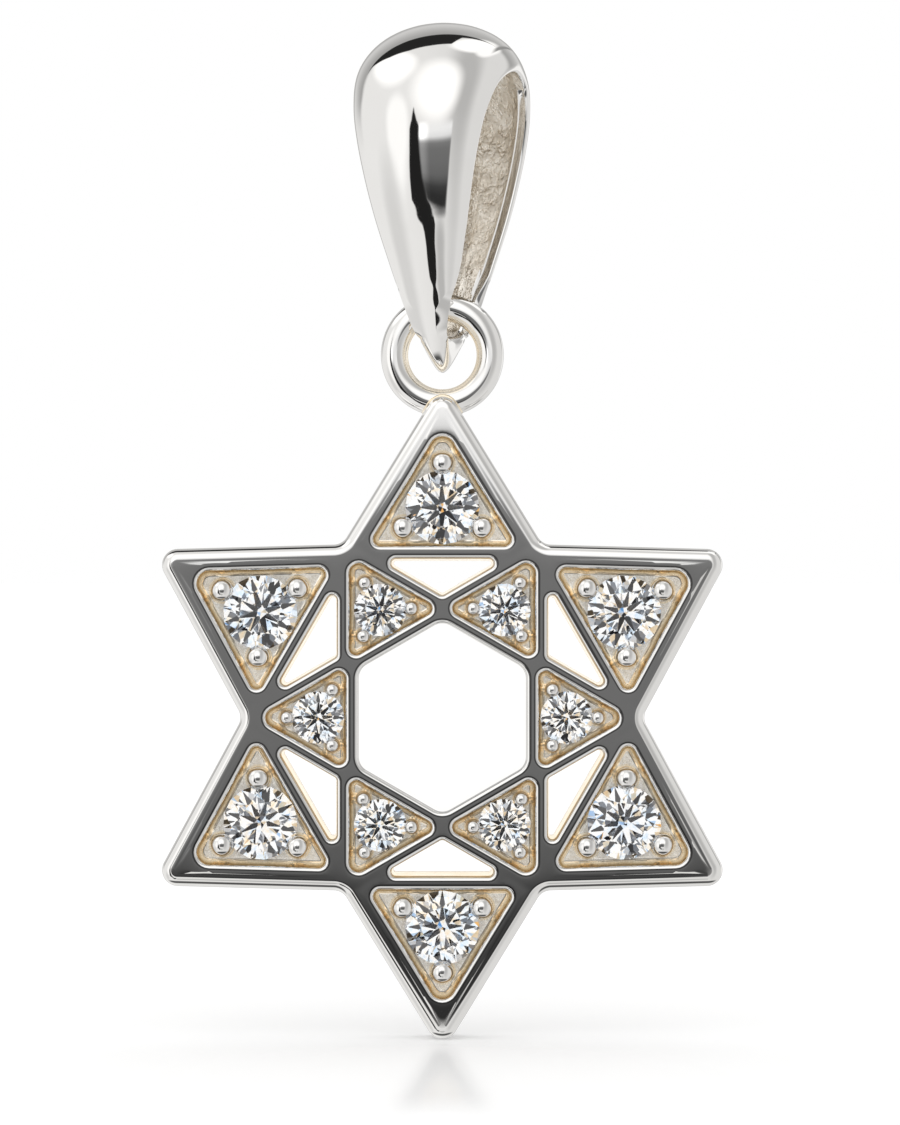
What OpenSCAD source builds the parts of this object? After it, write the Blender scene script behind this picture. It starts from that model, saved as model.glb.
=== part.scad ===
// Star of David pendant: a pierced and stone set star that swings from a hollow bail.
// Millimetres. +Z is up, the front faces -Y, the origin is where the chain lies in the bail.

/* [Star] */
// Centre of the star to the sharp point of an arm
tip_r = 10.8; // [10.2:0.1:12]
// Centre of the star to the sharp inner corner between two arms
waist_r = 6.43; // [6.3:0.01:6.9]
// Thickness of the cast plate
plate_t = 1.8; // [1.6:0.1:2.4]
// Rounding of the arms' points, seen from the front
tip_round = 0.52; // [0.42:0.02:0.8]
// Rounding of the inner corners, seen from the front
waist_round = 0.5; // [0.2:0.05:1]
// Width of the rounded shoulder that follows the outline
shoulder_w = 0.36; // [0.2:0.02:0.4]
// Depth of the rounded shoulder
shoulder_h = 0.45; // [0.2:0.05:0.8]
// Rounding of the back edge
back_round = 0.12; // [0.04:0.02:0.2]

/* [Lattice] */
// Flat face between the shoulder and a cell of an arm
rim_flat_w = 0.28; // [0.2:0.02:0.4]
// Flat face of a bar between two cells or openings
bar_w = 0.2; // [0.14:0.02:0.3]
// Centre to the middle line of the outer hexagon's bars
hexagon_r = 5.31; // [5.2:0.01:5.4]
// Centre to the middle line of the small cells' long bars
hexagram_r = 3.18; // [3.1:0.01:3.25]
// Centre to the middle line of the bars round the central opening
hub_r = 2.9; // [2.8:0.01:2.95]
// Width of the bright bevel along each inner edge
bevel_w = 0.1; // [0.04:0.01:0.14]
// Depth of that bevel
bevel_h = 0.1; // [0.04:0.01:0.2]
// How much narrower a through opening is at the back, on each side
draft = 0.08; // [0.02:0.01:0.12]
// Corner rounding of the central opening
hub_round = 0.45; // [0.1:0.05:0.8]
// Corner rounding of the slim openings round the hub
slim_round = 0.08; // [0.04:0.01:0.12]

/* [Cells] */
// Depth of a cell's floor under the front face
cell_depth = 0.7; // [0.5:0.05:0.85]
// How far a cell's wall leans in from its bevel to its floor
wall_lean = 0.14; // [0.05:0.01:0.18]
// Rounding of an arm cell's outer corner at the floor
arm_cell_round = 0.26; // [0.1:0.02:0.4]
// Rounding of the other cell corners at the floor
cell_round = 0.08; // [0.04:0.01:0.2]

/* [Stones] */
// Diameter of the six large stones
large_d = 2.4; // [2.1:0.05:2.5]
// Diameter of the six small stones
small_d = 1.7; // [1.5:0.05:1.8]
// Clear gap between a stone and its seat
stone_gap = 0.03; // [0.01:0.01:0.04]
// Gap between a stone's girdle and the bevel of the bar behind it
girdle_margin = 0.04; // [0.02:0.01:0.1]
// How far the tables stand above the front face
table_proud = 0.04; // [0:0.01:0.15]
// Width of a stone's bearing round the hole under it
bearing_w = 0.34; // [0.2:0.02:0.4]

/* [Prongs] */
// Diameter of the bead on a large stone's prong
large_bead_d = 0.68; // [0.55:0.01:0.75]
// Diameter of the bead on a small stone's prong
small_bead_d = 0.42; // [0.36:0.01:0.5]
// How much wider a prong's foot is than its bead
foot_extra = 0.08; // [0.04:0.01:0.12]
// How far a large bead reaches over its stone
large_grip = 0.12; // [0.08:0.01:0.16]
// How far a small bead reaches over its stone
small_grip = 0.06; // [0.04:0.01:0.1]
// Turn of the two inner prongs from the outer one, about the stone
prong_turn = 117; // [112:1:122]

/* [Ring] */
// Hole of the soldered ring
ring_hole_d = 2.21; // [2.1:0.01:2.6]
// Wire of the soldered ring
ring_wire_d = 0.88; // [0.7:0.01:0.9]
// How deep the middle of the wire is sunk in the star's top point
ring_sink = 0.2; // [0.1:0.01:0.35]

/* [Bail] */
// Height of the bail
bail_h = 11.33; // [10.5:0.01:13]
// Widest width of the bail, near its top
bail_w = 5.25; // [5:0.05:6.2]
// Deepest depth of the bail, front to back
bail_d = 5.9; // [5.4:0.05:6.6]
// Thickness of the bail's hollow wall
bail_wall = 0.42; // [0.35:0.01:0.5]
// Height of the bail's crown above the chain
crown_h = 1.7; // [1.5:0.01:1.9]
// Turn of the bail about the vertical, as it hangs at rest
bail_turn = 24; // [0:1:24]
// Clear gap between the ring's wire and the bail's seat
seat_gap = 0.16; // [0.12:0.01:0.2]
// Clear gap between the ring's wire and each leg of the bail
leg_gap = 0.58; // [0.5:0.01:0.64]

/* [Hidden] */

ARMS = 6;
ARM_STEP = 360 / ARMS;

// Angles of the arms run from the top one, those of the small cells from the corner beside it
FIRST_ARM = 90;
FIRST_SMALL = 60;

// Heights above the middle of the plate, towards the front
face_h = plate_t / 2;
floor_h = face_h - cell_depth;
over = 0.2;

// Proportions of a round brilliant, as shares of its diameter
TABLE_SHARE = 0.57;
CROWN_SHARE = 0.15;
GIRDLE_SHARE = 0.035;
PAVILION_SHARE = 0.42;
STAR_SHARE = 0.5;
LOWER_SHARE = 0.77;

// Height of a bead's middle above the girdle, as a share of its diameter
BEAD_RISE = 0.22;

// Inner edges of the bars, where bevel and wall meet
bar_half = bar_w / 2 + bevel_w;
arm_base_r = hexagon_r + bar_half;
small_base_r = hub_r + bar_half;
rim_w = shoulder_w + rim_flat_w + bevel_w;

// Distance of the stones from the middle of the star
large_at = arm_base_r + girdle_margin + large_d / 2;
small_at = small_base_r + girdle_margin + small_d / 2;

// Half angle of an arm's point
arm_run = tip_r - waist_r * cos(ARM_STEP / 2);
arm_half_w = waist_r * sin(ARM_STEP / 2);
tip_half = atan(arm_half_w / arm_run);
apex_r = tip_r - tip_round * (1 / sin(tip_half) - 1);

// The ring's wire, and where it hangs in the bail, from the chain down
wire_r = ring_wire_d / 2;
ring_r = ring_hole_d / 2 + wire_r;
// The saddle is how far the seat's middle stands above its edges, the tip is the metal under it
saddle_drop = 0.34;
seat_thick = 1.56;
seat_z = crown_h - bail_h + seat_thick;
hang_z = seat_z + seat_gap + wire_r;
ring_z = hang_z - ring_r;
star_z = ring_z - ring_r - apex_r + ring_sink;

// Sections of one leg of the bail round the ring's wire, from straight under it to beside it
// [angle round the wire, clearance as a share of the leg gap, half width as a share of the ring's hole,
//  dome as a share of the tip under the seat, bulge towards the wire as a share of the saddle]
// The first one's clearance is the seat gap and the saddle instead
SEAT_ROWS = [
    [0, 1.00, 0.190, 0.97, 1.00],
    [45, 1.15, 0.266, 0.26, 0.25],
    [90, 1.08, 0.380, 0.29, 0.00]
];

// Sections of one leg of the bail, from just above its seat to its top
// [height as a share of the drop, rim out as a share of the depth, half width as a share of the width,
//  dome as a share of the depth, hollow as a share of the dome]
LEG_ROWS = [
    [0.17, 0.198, 0.209, 0.098, 0.10],
    [0.30, 0.229, 0.264, 0.134, 0.45],
    [0.44, 0.268, 0.316, 0.165, 0.62],
    [0.59, 0.297, 0.364, 0.200, 0.68],
    [0.73, 0.300, 0.408, 0.234, 0.70],
    [0.85, 0.268, 0.446, 0.262, 0.72],
    [0.95, 0.175, 0.480, 0.284, 0.73]
];
SECTION_STEPS = 3;
OUTER_POINTS = 12;
INNER_POINTS = 8;
LEAST_INNER = 0.3;

// Steps of rounded corners and sides of round things
POINT_STEPS = 5;
SHOULDER_STEPS = 4;
CORNER_STEPS = 3;
SEAT_SIDES = 20;
LARGE_BEAD_SIDES = 14;
SMALL_BEAD_SIDES = 10;
RING_STEPS = 36;
WIRE_SIDES = 14;

function polar(r, a) = [r * cos(a), r * sin(a)];
function unit(v) = v / norm(v);
function flat(lists) = [for (l = lists) each l];
function lifted(loop, h) = [for (p = loop) [p[0], p[1], h]];

// Middle of the rounding of corner b between a and c, with radius r
function round_centre(a, b, c, r) =
    let (u = unit(b - a), v = unit(c - b))
    b + unit(v - u) * r / cos(acos(u * v) / 2);

// Rounding of corner b in n steps, with the whole outline moved in by inset
function round_corner(a, b, c, r, inset, n) =
    let (
        u = unit(b - a),
        v = unit(c - b),
        side = u[0] * v[1] - u[1] * v[0] > 0 ? 1 : -1,
        turn = acos(u * v),
        start = atan2(-u[0], u[1]),
        m = round_centre(a, b, c, r)
    )
    [for (i = [0:n]) m + polar(side * (r - side * inset), start + side * turn * i / n)];

// Closed anticlockwise outline with every corner rounded, moved in by inset
function rounded(corners, radii, inset, n) =
    let (k = len(corners))
    flat([
        for (i = [0:k - 1])
            round_corner(corners[(i + k - 1) % k], corners[i], corners[(i + 1) % k], radii[i], inset, n)
    ]);

// The star's outline, moved in by inset
function star_outline(inset) =
    rounded(
        flat([
            for (i = [0:ARMS - 1])
                [polar(tip_r, FIRST_ARM + ARM_STEP * i), polar(waist_r, FIRST_ARM + ARM_STEP * (i + 0.5))]
        ]),
        flat([for (i = [0:ARMS - 1]) [tip_round, waist_round]]),
        inset,
        POINT_STEPS
    );

// A solid through stacked outlines that have as many points each
module loft(rings) {
    n = len(rings[0]);
    levels = len(rings);
    share = [for (i = [1:n]) 1 / n];
    points = concat(flat(rings), [share * rings[0], share * rings[levels - 1]]);
    polyhedron(
        points,
        concat(
            [for (i = [0:n - 1]) [levels * n, i, (i + 1) % n]],
            [for (i = [0:n - 1]) [levels * n + 1, (levels - 1) * n + (i + 1) % n, (levels - 1) * n + i]],
            flat([
                for (j = [0:levels - 2], i = [0:n - 1])
                    let (a = j * n + i, b = j * n + (i + 1) % n)
                    [[a, a + n, b], [b, a + n, b + n]]
            ])
        )
    );
}

// The plate before it is pierced: plain back edge, straight side, rounded shoulder
module star_blank() {
    steps = SHOULDER_STEPS;
    loft(concat(
        [
            lifted(star_outline(back_round), -face_h),
            lifted(star_outline(0), back_round - face_h)
        ],
        [
            for (i = [0:steps])
                lifted(
                    star_outline(shoulder_w * (1 - cos(90 * i / steps))),
                    face_h - shoulder_h * (1 - sin(90 * i / steps))
                )
        ]
    ));
}

// Pocket with a leaning wall and a bevel at the face, given by its outline at the bevel's foot
module pocket(corners, radii, lean, bottom_h) {
    foot_h = face_h - bevel_h;
    loft([
        lifted(rounded(corners, radii, 0, CORNER_STEPS), bottom_h),
        lifted(rounded(corners, radii, -lean, CORNER_STEPS), foot_h),
        lifted(rounded(corners, radii, -lean - bevel_w, CORNER_STEPS), face_h),
        lifted(rounded(corners, radii, -lean - bevel_w, CORNER_STEPS), face_h + over)
    ]);
}

// Where the lines at distances p and q from the middle, square to angles a and b, cross
function crossing(p, a, q, b) =
    [p * sin(b) - q * sin(a), q * cos(a) - p * cos(b)] / sin(b - a);

// Triangle of a base line square to the X axis and two lines at slope to it
function triangle(base_r, side_r, side_a) =
    [
        crossing(side_r, side_a, side_r, -side_a),
        crossing(side_r, side_a, base_r, 0),
        crossing(side_r, -side_a, base_r, 0)
    ];

// Cell of an arm that points along X
module arm_cell() {
    side_a = 90 - tip_half;
    side_r = tip_r * sin(tip_half) - rim_w - wall_lean;
    pocket(
        triangle(arm_base_r + wall_lean, side_r, side_a),
        [arm_cell_round, cell_round, cell_round],
        wall_lean,
        floor_h
    );
}

// Small cell that points along X
module small_cell() {
    pocket(
        triangle(small_base_r + wall_lean, hexagram_r - bar_half - wall_lean, ARM_STEP),
        [cell_round * 2, cell_round, cell_round],
        wall_lean,
        floor_h
    );
}

// Slim opening between two small cells and a bar of the outer hexagon, square to X
module slim_opening() {
    top_r = hexagon_r - bar_half - draft;
    low_r = hexagram_r + bar_half + draft;
    pocket(
        [
            crossing(low_r, -ARM_STEP / 2, low_r, ARM_STEP / 2),
            crossing(low_r, ARM_STEP / 2, top_r, 0),
            crossing(low_r, -ARM_STEP / 2, top_r, 0)
        ],
        [slim_round, slim_round, slim_round],
        draft,
        -face_h - over
    );
}

// Central opening
module hub_opening() {
    side_r = hub_r - bar_half - draft;
    pocket(
        [for (i = [0:ARMS - 1]) polar(side_r / cos(ARM_STEP / 2), ARM_STEP * (i + 0.5))],
        [for (i = [0:ARMS - 1]) hub_round],
        draft,
        -face_h - over
    );
}

// Profile of a stone of diameter d from its axis, moved out by gap, with its table at height 0
function stone_profile(d, gap) =
    [
        [0, gap],
        [d * TABLE_SHARE / 2 + gap / 2, gap],
        [d / 2 + gap, -d * CROWN_SHARE + gap / 2],
        [d / 2 + gap, -d * (CROWN_SHARE + GIRDLE_SHARE) - gap / 2],
        [0, -d * (CROWN_SHARE + GIRDLE_SHARE + PAVILION_SHARE) - gap * 1.5]
    ];

// Room for a stone and the hole under it
module stone_seat(d) {
    sides = SEAT_SIDES;
    grow = 1 / cos(180 / sides);
    translate([0, 0, face_h + table_proud]) {
        rotate_extrude($fn = sides) polygon([for (p = stone_profile(d, stone_gap)) [p[0] * grow, p[1]]]);
    }
    translate([0, 0, -face_h - over]) {
        cylinder(r = d / 2 - bearing_w, h = face_h + floor_h, $fn = sides);
    }
}

// One prong: it narrows from its foot on the cell's floor to a bead that reaches over the girdle
module prong(d, stone_d, sides) {
    girdle_h = face_h + table_proud - stone_d * CROWN_SHARE;
    translate([0, 0, floor_h - over]) hull() {
        cylinder(r = (d + foot_extra) / 2, h = over * 2, $fn = sides);
        translate([0, 0, girdle_h + d * BEAD_RISE - floor_h + over]) sphere(d = d, $fn = sides);
    }
}

// Three prongs round a stone that sits at distance at along X
module prongs(d, stone_d, grip, at, sides) {
    reach = (stone_d + d) / 2 - grip;
    for (a = [0, prong_turn, -prong_turn]) {
        translate([at + reach * cos(a), reach * sin(a), 0]) prong(d, stone_d, sides);
    }
}

// Soldered ring, upright in the plane of the star
module ring() {
    translate([0, 0, ring_z]) rotate([90, 0, 0]) {
        rotate_extrude($fn = RING_STEPS) translate([ring_r, 0]) circle(r = wire_r, $fn = WIRE_SIDES);
    }
}

// Turns the star from lying face up to hanging with its face to -Y
module hung() {
    translate([0, 0, star_z]) rotate([90, 0, 0]) children();
}

module at_arm(i) {
    rotate([0, 0, FIRST_ARM + ARM_STEP * i]) children();
}

module at_small(i) {
    rotate([0, 0, FIRST_SMALL + ARM_STEP * i]) children();
}

// Cast star with its prongs and the ring soldered to its top point
module star_frame() {
    color("silver") difference() {
        union() {
            hung() {
                difference() {
                    star_blank();
                    hub_opening();
                    for (i = [0:ARMS - 1]) {
                        at_arm(i) arm_cell();
                        at_arm(i) slim_opening();
                        at_small(i) small_cell();
                    }
                }
                for (i = [0:ARMS - 1]) {
                    at_arm(i) prongs(large_bead_d, large_d, large_grip, large_at, LARGE_BEAD_SIDES);
                    at_small(i) prongs(small_bead_d, small_d, small_grip, small_at, SMALL_BEAD_SIDES);
                }
            }
            ring();
        }
        hung() for (i = [0:ARMS - 1]) {
            at_arm(i) translate([large_at, 0, 0]) stone_seat(large_d);
            at_small(i) translate([small_at, 0, 0]) stone_seat(small_d);
        }
    }
}

// Round brilliant of diameter d, its table at height 0
module brilliant(d) {
    r = d / 2;
    table_r = r * TABLE_SHARE;
    half = 360 / 16;
    girdle_z = -d * CROWN_SHARE;
    under_z = girdle_z - d * GIRDLE_SHARE;
    culet_z = under_z - d * PAVILION_SHARE;
    crown_slope = -girdle_z / (r - table_r);
    edge_r = table_r * cos(half);
    star_r = edge_r + (r - edge_r) * STAR_SHARE;
    star_h = girdle_z + (r - star_r * cos(half)) * crown_slope;
    lower_r = r * (1 - LOWER_SHARE);
    lower_h = culet_z + lower_r * cos(half) * (under_z - culet_z) / r;
    points = concat(
        [for (i = [0:7]) [each polar(table_r, 2 * half * i), 0]],
        [for (i = [0:7]) [each polar(star_r, 2 * half * i + half), star_h]],
        [for (i = [0:15]) [each polar(r, half * i), girdle_z]],
        [for (i = [0:15]) [each polar(r, half * i), under_z]],
        [for (i = [0:7]) [each polar(lower_r, 2 * half * i + half), lower_h]],
        [[0, 0, culet_z]]
    );
    faces = concat(
        [[for (i = [7:-1:0]) i]],
        flat([
            for (i = [0:7])
                let (
                    j = (i + 1) % 8,
                    k = (i + 7) % 8,
                    g = 16 + 2 * i,
                    h = g + 1,
                    n = 16 + 2 * j,
                    deep = 48
                )
                [
                    [i, j, 8 + i],
                    [i, 8 + i, g],
                    [i, g, 8 + k],
                    [8 + i, h, g],
                    [8 + i, n, h],
                    [g, h, h + 16],
                    [g, h + 16, g + 16],
                    [h, n, n + 16],
                    [h, n + 16, h + 16],
                    [g + 16, h + 16, 48 + i],
                    [h + 16, n + 16, 48 + i],
                    [g + 16, 48 + i, 56],
                    [g + 16, 56, 48 + k]
                ]
        ])
    );
    polyhedron(points, faces);
}

module large_stone(i) {
    color("white") hung() at_arm(i) translate([large_at, 0, face_h + table_proud]) brilliant(large_d);
}

module small_stone(i) {
    color("white") hung() at_small(i) translate([small_at, 0, face_h + table_proud]) brilliant(small_d);
}

// Sections of a whole leg: [rim out, rim height, half width, dome, hollow]
function seat_rows() =
    [
        for (s = SEAT_ROWS)
            let (r = wire_r + (s[0] > 0 ? s[1] * leg_gap : seat_gap + saddle_drop))
            [
                r * sin(s[0]),
                hang_z - r * cos(s[0]),
                s[2] * ring_hole_d,
                s[3] * (seat_thick - saddle_drop),
                -s[4] * saddle_drop
            ]
    ];

function leg_rows() =
    concat(
        seat_rows(),
        [
            for (s = LEG_ROWS)
                let (dome = s[3] * bail_d)
                [
                    s[1] * bail_d,
                    seat_z * (1 - s[0]),
                    s[2] * bail_w,
                    dome,
                    min(s[4] * dome, dome - bail_wall)
                ]
        ],
        [[0, 0, bail_w / 2, crown_h, crown_h - bail_wall]]
    );

// Rows of the whole closed loop: up the back leg and down the front one
function mirrored(row) = [-row[0], row[1], row[2], row[3], row[4]];

function loop_rows() =
    let (rows = leg_rows(), n = len(rows))
    concat(rows, [for (i = [n - 2:-1:1]) mirrored(rows[i])]);

// Point at share t between rows b and c of a smooth curve through a, b, c and d
function smooth(a, b, c, d, t) =
    let (
        second = 2 * a - 5 * b + 4 * c - d,
        third = 3 * b - a - 3 * c + d
    )
    (2 * b + (c - a) * t + second * t * t + third * t * t * t) / 2;

function fine_rows() =
    let (rows = loop_rows(), n = len(rows))
    flat([
        for (i = [0:n - 1])
            [
                let (before = rows[(i + n - 1) % n], next = rows[(i + 1) % n], after = rows[(i + 2) % n])
                for (k = [0:SECTION_STEPS - 1])
                    smooth(before, rows[i], next, after, k / SECTION_STEPS)
            ]
    ]);

// Points of one section: the dome outside, then the hollow inside
function bail_section(row, out) =
    let (
        half = row[2],
        inner = max(half - bail_wall, half * LEAST_INNER)
    )
    concat(
        [
            for (i = [0:OUTER_POINTS])
                let (a = 180 * i / OUTER_POINTS)
                [half * cos(a), row[0] + out[0] * row[3] * sin(a), row[1] + out[1] * row[3] * sin(a)]
        ],
        [
            for (i = [0:INNER_POINTS])
                let (a = 180 - 180 * i / INNER_POINTS)
                [inner * cos(a), row[0] + out[0] * row[4] * sin(a), row[1] + out[1] * row[4] * sin(a)]
        ]
    );

function bail_sections() =
    let (rows = fine_rows(), n = len(rows))
    [
        for (i = [0:n - 1])
            let (
                along = rows[(i + 1) % n] - rows[(i + n - 1) % n],
                out = unit([along[1], -along[0]])
            )
            bail_section(rows[i], out)
    ];

// A closed loop of sections
module closed_loft(rings) {
    n = len(rings[0]);
    m = len(rings);
    polyhedron(
        flat(rings),
        flat([
            for (j = [0:m - 1], i = [0:n - 1])
                let (
                    a = j * n + i,
                    b = j * n + (i + 1) % n,
                    c = ((j + 1) % m) * n + i,
                    d = ((j + 1) % m) * n + (i + 1) % n
                )
                [[a, c, b], [b, c, d]]
        ])
    );
}

// Hollow domed bail, wide at the top and narrow where it holds the ring
module bail() {
    color("gainsboro") rotate([0, 0, -bail_turn]) closed_loft(bail_sections());
}

star_frame();
bail();
large_stone(0);  // large_stone_1
large_stone(1);  // large_stone_2
large_stone(2);  // large_stone_3
large_stone(3);  // large_stone_4
large_stone(4);  // large_stone_5
large_stone(5);  // large_stone_6
small_stone(0);  // small_stone_1
small_stone(1);  // small_stone_2
small_stone(2);  // small_stone_3
small_stone(3);  // small_stone_4
small_stone(4);  // small_stone_5
small_stone(5);  // small_stone_6
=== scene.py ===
import math

import bmesh
import bpy
import numpy as np
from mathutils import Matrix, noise
from mathutils.geometry import delaunay_2d_cdt


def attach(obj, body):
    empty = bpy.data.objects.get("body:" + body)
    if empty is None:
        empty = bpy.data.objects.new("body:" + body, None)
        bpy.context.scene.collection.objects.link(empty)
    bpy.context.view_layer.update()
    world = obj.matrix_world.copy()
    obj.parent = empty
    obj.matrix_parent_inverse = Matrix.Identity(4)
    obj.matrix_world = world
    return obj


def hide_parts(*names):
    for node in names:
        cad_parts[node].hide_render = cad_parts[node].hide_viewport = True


def sin(a):
    """Sine of an angle in degrees."""
    return math.sin(math.radians(a))


def cos(a):
    """Cosine of an angle in degrees."""
    return math.cos(math.radians(a))


# Sizes in millimetres, the same names and values as in the solids' source
TIP_R = 10.8
WAIST_R = 6.43
PLATE_T = 1.8
TIP_ROUND = 0.52
WAIST_ROUND = 0.5
SHOULDER_W = 0.36
SHOULDER_H = 0.45
BACK_ROUND = 0.12
RIM_FLAT_W = 0.28
BAR_W = 0.2
HEXAGON_R = 5.31
HEXAGRAM_R = 3.18
HUB_R = 2.9
BEVEL_W = 0.1
BEVEL_H = 0.1
DRAFT = 0.08
HUB_ROUND = 0.45
SLIM_ROUND = 0.08
CELL_DEPTH = 0.7
WALL_LEAN = 0.14
ARM_CELL_ROUND = 0.26
CELL_ROUND = 0.08
LARGE_D = 2.4
SMALL_D = 1.7
STONE_GAP = 0.03
GIRDLE_MARGIN = 0.04
TABLE_PROUD = 0.04
BEARING_W = 0.34
LARGE_BEAD_D = 0.68
SMALL_BEAD_D = 0.42
FOOT_EXTRA = 0.08
LARGE_GRIP = 0.12
SMALL_GRIP = 0.06
PRONG_TURN = 117
RING_HOLE_D = 2.21
RING_WIRE_D = 0.88
RING_SINK = 0.2
BAIL_H = 11.33
BAIL_W = 5.25
BAIL_D = 5.9
BAIL_WALL = 0.42
CROWN_H = 1.7
BAIL_TURN = 24
SEAT_GAP = 0.16
LEG_GAP = 0.58
SADDLE_DROP = 0.34
SEAT_THICK = 1.56

TABLE_SHARE = 0.57
CROWN_SHARE = 0.15
GIRDLE_SHARE = 0.035
PAVILION_SHARE = 0.42
BEAD_RISE = 0.22

ARMS = 6
ARM_STEP = 60
FIRST_ARM = 90
FIRST_SMALL = 60
MM = 0.001
# Steps of the outline's round corners, and how near to each other points are welded, in millimetres
OUTLINE_N = 12
WELD = 2e-5

FACE_H = PLATE_T / 2
FLOOR_H = FACE_H - CELL_DEPTH
BAR_HALF = BAR_W / 2 + BEVEL_W
ARM_BASE_R = HEXAGON_R + BAR_HALF
SMALL_BASE_R = HUB_R + BAR_HALF
RIM_W = SHOULDER_W + RIM_FLAT_W + BEVEL_W
LARGE_AT = ARM_BASE_R + GIRDLE_MARGIN + LARGE_D / 2
SMALL_AT = SMALL_BASE_R + GIRDLE_MARGIN + SMALL_D / 2
TIP_HALF = math.degrees(math.atan2(WAIST_R * sin(ARM_STEP / 2), TIP_R - WAIST_R * cos(ARM_STEP / 2)))
APEX_R = TIP_R - TIP_ROUND * (1 / sin(TIP_HALF) - 1)
WIRE_R = RING_WIRE_D / 2
RING_R = RING_HOLE_D / 2 + WIRE_R
SEAT_Z = CROWN_H - BAIL_H + SEAT_THICK
HANG_Z = SEAT_Z + SEAT_GAP + WIRE_R
RING_Z = HANG_Z - RING_R
STAR_Z = RING_Z - RING_R - APEX_R + RING_SINK
FLOOR_Z = STAR_Z - APEX_R

# The photograph's view: level, long lens, 900 by 1125 pixels
PIXELS_PER_MM = 31.2
PHOTO_H = 1125
CAMERA_AT = (0.247, -140.9, -15.706)
FACE_DISTANCE = 140.0
SENSOR = 36.0


# Plane geometry


def polar(r, a):
    return np.array([r * cos(a), r * sin(a)])


def unit(v):
    return v / np.linalg.norm(v)


def turned(points, a):
    """Points of the plane turned by a degrees about the middle of the star."""
    c, s = cos(a), sin(a)
    p = np.asarray(points)
    return np.stack([p[:, 0] * c - p[:, 1] * s, p[:, 0] * s + p[:, 1] * c], 1)


def round_corner(a, b, c, r, inset, n):
    """Arc of radius r at corner b between a and c, moved in by inset, in n steps."""
    u, v = unit(b - a), unit(c - b)
    side = 1 if u[0] * v[1] - u[1] * v[0] > 0 else -1
    turn = math.acos(max(-1.0, min(1.0, float(u @ v))))
    start = math.degrees(math.atan2(-u[0], u[1]))
    middle = b + unit(v - u) * r / math.cos(turn / 2)
    return [
        middle + polar(side * (r - side * inset), start + side * math.degrees(turn) * i / n)
        for i in range(n + 1)
    ]


def rounded(corners, radii, inset, n):
    """The closed outline through the corners with each of them rounded."""
    k = len(corners)
    return np.array(
        [
            p
            for i in range(k)
            for p in round_corner(corners[i - 1], corners[i], corners[(i + 1) % k], radii[i], inset, n)
        ]
    )


def dense(loop, step):
    """The closed loop with extra points, so that none of its sides is longer than step."""
    out = []
    for i in range(len(loop)):
        a, b = loop[i], loop[(i + 1) % len(loop)]
        n = max(1, int(math.ceil(np.linalg.norm(b - a) / step - 1e-6)))
        out += [a + (b - a) * j / n for j in range(n)]
    return np.array(out)


def crossing(p, a, q, b):
    """Where two lines cross that pass the middle at distance p and q with normals at angles a and b."""
    a, b = math.radians(a), math.radians(b)
    return np.array(
        [p * math.sin(b) - q * math.sin(a), q * math.cos(a) - p * math.cos(b)]
    ) / math.sin(b - a)


def triangle(base_r, side_r, side_a):
    """Corners, tip first, of a triangle whose base lies at base_r and its sides at side_r."""
    return [
        crossing(side_r, side_a, side_r, -side_a),
        crossing(side_r, side_a, base_r, 0),
        crossing(side_r, -side_a, base_r, 0),
    ]


def star_outline(inset):
    """The star's rounded outline, moved in by inset."""
    corners = []
    for i in range(ARMS):
        corners.append(polar(TIP_R, FIRST_ARM + ARM_STEP * i))
        corners.append(polar(WAIST_R, FIRST_ARM + ARM_STEP * (i + 0.5)))
    return rounded(corners, [TIP_ROUND, WAIST_ROUND] * ARMS, inset, OUTLINE_N)


def inside(points, loop):
    """Which points lie in the closed loop."""
    x, y = points[:, 0][:, None], points[:, 1][:, None]
    a, b = loop, np.roll(loop, -1, 0)
    ax, ay, bx, by = a[:, 0], a[:, 1], b[:, 0], b[:, 1]
    hit = (ay > y) != (by > y)
    run = np.where(by == ay, 1e-12, by - ay)
    return (hit & (x < (bx - ax) * (y - ay) / run + ax)).sum(1) % 2 == 1


def distance(points, loop):
    """Distance of the points to the closed loop."""
    a, b = loop, np.roll(loop, -1, 0)
    ab = b - a
    ap = points[:, None, :] - a[None]
    t = np.clip((ap * ab).sum(2) / np.maximum((ab * ab).sum(1), 1e-18), 0, 1)
    return np.sqrt(((ap - t[..., None] * ab) ** 2).sum(2)).min(1)


# Mesh building


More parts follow.
